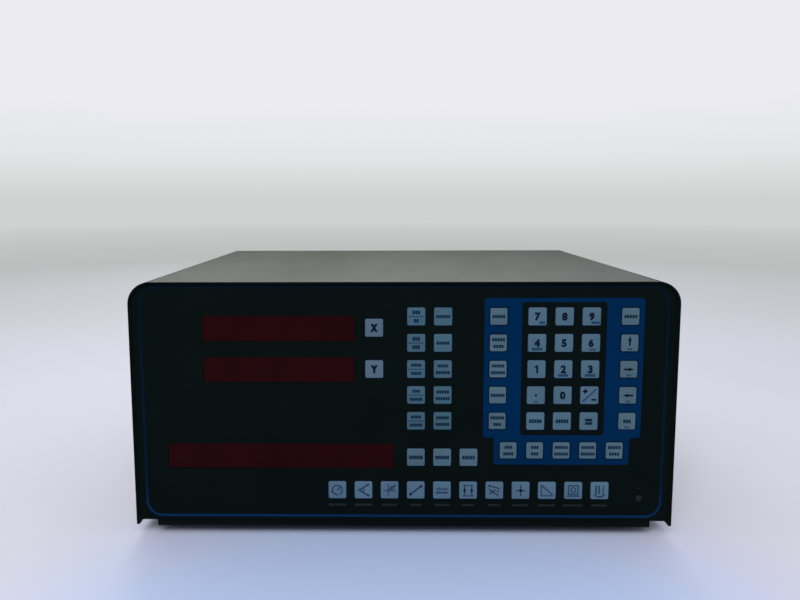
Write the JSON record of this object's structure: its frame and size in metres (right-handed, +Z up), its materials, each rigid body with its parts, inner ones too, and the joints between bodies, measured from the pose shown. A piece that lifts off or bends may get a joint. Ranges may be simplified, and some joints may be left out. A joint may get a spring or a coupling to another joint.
{
  "type": "optical comparator readout console",
  "caption": "Bench-top digital readout console for an optical comparator, with axis windows, a message window and a membrane keypad.",
  "frame": {"origin": "on the floor below the middle of the case", "axes": "+Z up, +X to the operator's right, +Y from the front panel to the rear panel"},
  "size_m": [0.3954, 0.28, 0.188],
  "materials": {
    "cover_paint": "black textured paint",
    "pan_paint": "black paint",
    "zinc": "zinc plated",
    "aluminium": "mill finish",
    "panel_print": "printed polyester film, black",
    "key_print": "printed film, pale blue grey",
    "filter_red": "dark red tinted acrylic",
    "light_lens": "clear lamp lens",
    "membrane": "polyester film",
    "digit_face": "display module",
    "circuit_board": "solder masked glass epoxy",
    "chip": "moulded epoxy",
    "ribbon": "flat cable",
    "core": "laminated steel",
    "insulator": "moulded black nylon",
    "port_shell": "tinned steel shell",
    "rubber": "moulded"
  },
  "bodies": {
    "console": {"top_cover": "cover_paint", "base_pan": "pan_paint", "rear_panel": "cover_paint", "corner_brackets": "zinc", "cover_screws": "zinc", "rubber_feet": "rubber", "front_overlay": "panel_print", "keypad_membrane": "membrane", "front_plate": "aluminium", "window_filters": "filter_red", "status_light": "light_lens", "mode_keys": "key_print", "feature_keys": "key_print", "axis_digits": "digit_face", "message_digits": "digit_face", "display_board": "circuit_board", "board_spacers": "zinc", "ribbon_cable": "ribbon", "main_board": "circuit_board", "logic_chips": "chip", "power_supply_board": "circuit_board", "transformer": "core", "power_inlet": "insulator", "fuse_holder": "insulator", "switch_housing": "insulator", "encoder_ports": "port_shell", "serial_port": "port_shell"},
    "power_rocker": {"power_rocker": "insulator"},
    "key_7": {"key_7": "key_print"},
    "key_8": {"key_8": "key_print"},
    "key_9": {"key_9": "key_print"},
    "key_4": {"key_4": "key_print"},
    "key_5": {"key_5": "key_print"},
    "key_6": {"key_6": "key_print"},
    "key_1": {"key_1": "key_print"},
    "key_2": {"key_2": "key_print"},
    "key_3": {"key_3": "key_print"},
    "key_point": {"key_point": "key_print"},
    "key_0": {"key_0": "key_print"},
    "key_sign": {"key_sign": "key_print"},
    "key_clear": {"key_clear": "key_print"},
    "key_enter": {"key_enter": "key_print"},
    "key_repeat": {"key_repeat": "key_print"},
    "key_store": {"key_store": "key_print"},
    "key_store_zero": {"key_store_zero": "key_print"},
    "key_show_store": {"key_show_store": "key_print"},
    "key_recall": {"key_recall": "key_print"},
    "key_recall_axis": {"key_recall_axis": "key_print"},
    "key_setup": {"key_setup": "key_print"},
    "key_up": {"key_up": "key_print"},
    "key_right": {"key_right": "key_print"},
    "key_left": {"key_left": "key_print"},
    "key_escape": {"key_escape": "key_print"},
    "key_motor_1": {"key_motor_1": "key_print"},
    "key_motor_2": {"key_motor_2": "key_print"},
    "key_motor_3": {"key_motor_3": "key_print"},
    "key_motor_4": {"key_motor_4": "key_print"},
    "key_motor_5": {"key_motor_5": "key_print"},
    "key_axis_x": {"key_axis_x": "key_print"},
    "key_axis_y": {"key_axis_y": "key_print"}
  },
  "joints": [
    {"name": "power_switch", "type": "hinge", "parent": "console", "child": "power_rocker", "pos_m": [0.112, 0.129, 0.0735], "axis": [1, 0, 0], "range_deg": [0, 20]},
    {"name": "key_7_press", "type": "slide", "parent": "console", "child": "key_7", "axis": [0, 1, 0], "range_m": [0, 0.0004], "stiffness_N_per_m": 1500, "springref_m": -0.0005},
    {"name": "key_8_press", "type": "slide", "parent": "console", "child": "key_8", "axis": [0, 1, 0], "range_m": [0, 0.0004], "stiffness_N_per_m": 1500, "springref_m": -0.0005},
    {"name": "key_9_press", "type": "slide", "parent": "console", "child": "key_9", "axis": [0, 1, 0], "range_m": [0, 0.0004], "stiffness_N_per_m": 1500, "springref_m": -0.0005},
    {"name": "key_4_press", "type": "slide", "parent": "console", "child": "key_4", "axis": [0, 1, 0], "range_m": [0, 0.0004], "stiffness_N_per_m": 1500, "springref_m": -0.0005},
    {"name": "key_5_press", "type": "slide", "parent": "console", "child": "key_5", "axis": [0, 1, 0], "range_m": [0, 0.0004], "stiffness_N_per_m": 1500, "springref_m": -0.0005},
    {"name": "key_6_press", "type": "slide", "parent": "console", "child": "key_6", "axis": [0, 1, 0], "range_m": [0, 0.0004], "stiffness_N_per_m": 1500, "springref_m": -0.0005},
    {"name": "key_1_press", "type": "slide", "parent": "console", "child": "key_1", "axis": [0, 1, 0], "range_m": [0, 0.0004], "stiffness_N_per_m": 1500, "springref_m": -0.0005},
    {"name": "key_2_press", "type": "slide", "parent": "console", "child": "key_2", "axis": [0, 1, 0], "range_m": [0, 0.0004], "stiffness_N_per_m": 1500, "springref_m": -0.0005},
    {"name": "key_3_press", "type": "slide", "parent": "console", "child": "key_3", "axis": [0, 1, 0], "range_m": [0, 0.0004], "stiffness_N_per_m": 1500, "springref_m": -0.0005},
    {"name": "key_point_press", "type": "slide", "parent": "console", "child": "key_point", "axis": [0, 1, 0], "range_m": [0, 0.0004], "stiffness_N_per_m": 1500, "springref_m": -0.0005},
    {"name": "key_0_press", "type": "slide", "parent": "console", "child": "key_0", "axis": [0, 1, 0], "range_m": [0, 0.0004], "stiffness_N_per_m": 1500, "springref_m": -0.0005},
    {"name": "key_sign_press", "type": "slide", "parent": "console", "child": "key_sign", "axis": [0, 1, 0], "range_m": [0, 0.0004], "stiffness_N_per_m": 1500, "springref_m": -0.0005},
    {"name": "key_clear_press", "type": "slide", "parent": "console", "child": "key_clear", "axis": [0, 1, 0], "range_m": [0, 0.0004], "stiffness_N_per_m": 1500, "springref_m": -0.0005},
    {"name": "key_enter_press", "type": "slide", "parent": "console", "child": "key_enter", "axis": [0, 1, 0], "range_m": [0, 0.0004], "stiffness_N_per_m": 1500, "springref_m": -0.0005},
    {"name": "key_repeat_press", "type": "slide", "parent": "console", "child": "key_repeat", "axis": [0, 1, 0], "range_m": [0, 0.0004], "stiffness_N_per_m": 1500, "springref_m": -0.0005},
    {"name": "key_store_press", "type": "slide", "parent": "console", "child": "key_store", "axis": [0, 1, 0], "range_m": [0, 0.0004], "stiffness_N_per_m": 1500, "springref_m": -0.0005},
    {"name": "key_store_zero_press", "type": "slide", "parent": "console", "child": "key_store_zero", "axis": [0, 1, 0], "range_m": [0, 0.0004], "stiffness_N_per_m": 1500, "springref_m": -0.0005},
    {"name": "key_show_store_press", "type": "slide", "parent": "console", "child": "key_show_store", "axis": [0, 1, 0], "range_m": [0, 0.0004], "stiffness_N_per_m": 1500, "springref_m": -0.0005},
    {"name": "key_recall_press", "type": "slide", "parent": "console", "child": "key_recall", "axis": [0, 1, 0], "range_m": [0, 0.0004], "stiffness_N_per_m": 1500, "springref_m": -0.0005},
    {"name": "key_recall_axis_press", "type": "slide", "parent": "console", "child": "key_recall_axis", "axis": [0, 1, 0], "range_m": [0, 0.0004], "stiffness_N_per_m": 1500, "springref_m": -0.0005},
    {"name": "key_setup_press", "type": "slide", "parent": "console", "child": "key_setup", "axis": [0, 1, 0], "range_m": [0, 0.0004], "stiffness_N_per_m": 1500, "springref_m": -0.0005},
    {"name": "key_up_press", "type": "slide", "parent": "console", "child": "key_up", "axis": [0, 1, 0], "range_m": [0, 0.0004], "stiffness_N_per_m": 1500, "springref_m": -0.0005},
    {"name": "key_right_press", "type": "slide", "parent": "console", "child": "key_right", "axis": [0, 1, 0], "range_m": [0, 0.0004], "stiffness_N_per_m": 1500, "springref_m": -0.0005},
    {"name": "key_left_press", "type": "slide", "parent": "console", "child": "key_left", "axis": [0, 1, 0], "range_m": [0, 0.0004], "stiffness_N_per_m": 1500, "springref_m": -0.0005},
    {"name": "key_escape_press", "type": "slide", "parent": "console", "child": "key_escape", "axis": [0, 1, 0], "range_m": [0, 0.0004], "stiffness_N_per_m": 1500, "springref_m": -0.0005},
    {"name": "key_motor_1_press", "type": "slide", "parent": "console", "child": "key_motor_1", "axis": [0, 1, 0], "range_m": [0, 0.0004], "stiffness_N_per_m": 1500, "springref_m": -0.0005},
    {"name": "key_motor_2_press", "type": "slide", "parent": "console", "child": "key_motor_2", "axis": [0, 1, 0], "range_m": [0, 0.0004], "stiffness_N_per_m": 1500, "springref_m": -0.0005},
    {"name": "key_motor_3_press", "type": "slide", "parent": "console", "child": "key_motor_3", "axis": [0, 1, 0], "range_m": [0, 0.0004], "stiffness_N_per_m": 1500, "springref_m": -0.0005},
    {"name": "key_motor_4_press", "type": "slide", "parent": "console", "child": "key_motor_4", "axis": [0, 1, 0], "range_m": [0, 0.0004], "stiffness_N_per_m": 1500, "springref_m": -0.0005},
    {"name": "key_motor_5_press", "type": "slide", "parent": "console", "child": "key_motor_5", "axis": [0, 1, 0], "range_m": [0, 0.0004], "stiffness_N_per_m": 1500, "springref_m": -0.0005},
    {"name": "key_axis_x_press", "type": "slide", "parent": "console", "child": "key_axis_x", "axis": [0, 1, 0], "range_m": [0, 0.0004], "stiffness_N_per_m": 1500, "springref_m": -0.0005},
    {"name": "key_axis_y_press", "type": "slide", "parent": "console", "child": "key_axis_y", "axis": [0, 1, 0], "range_m": [0, 0.0004], "stiffness_N_per_m": 1500, "springref_m": -0.0005}
  ]
}
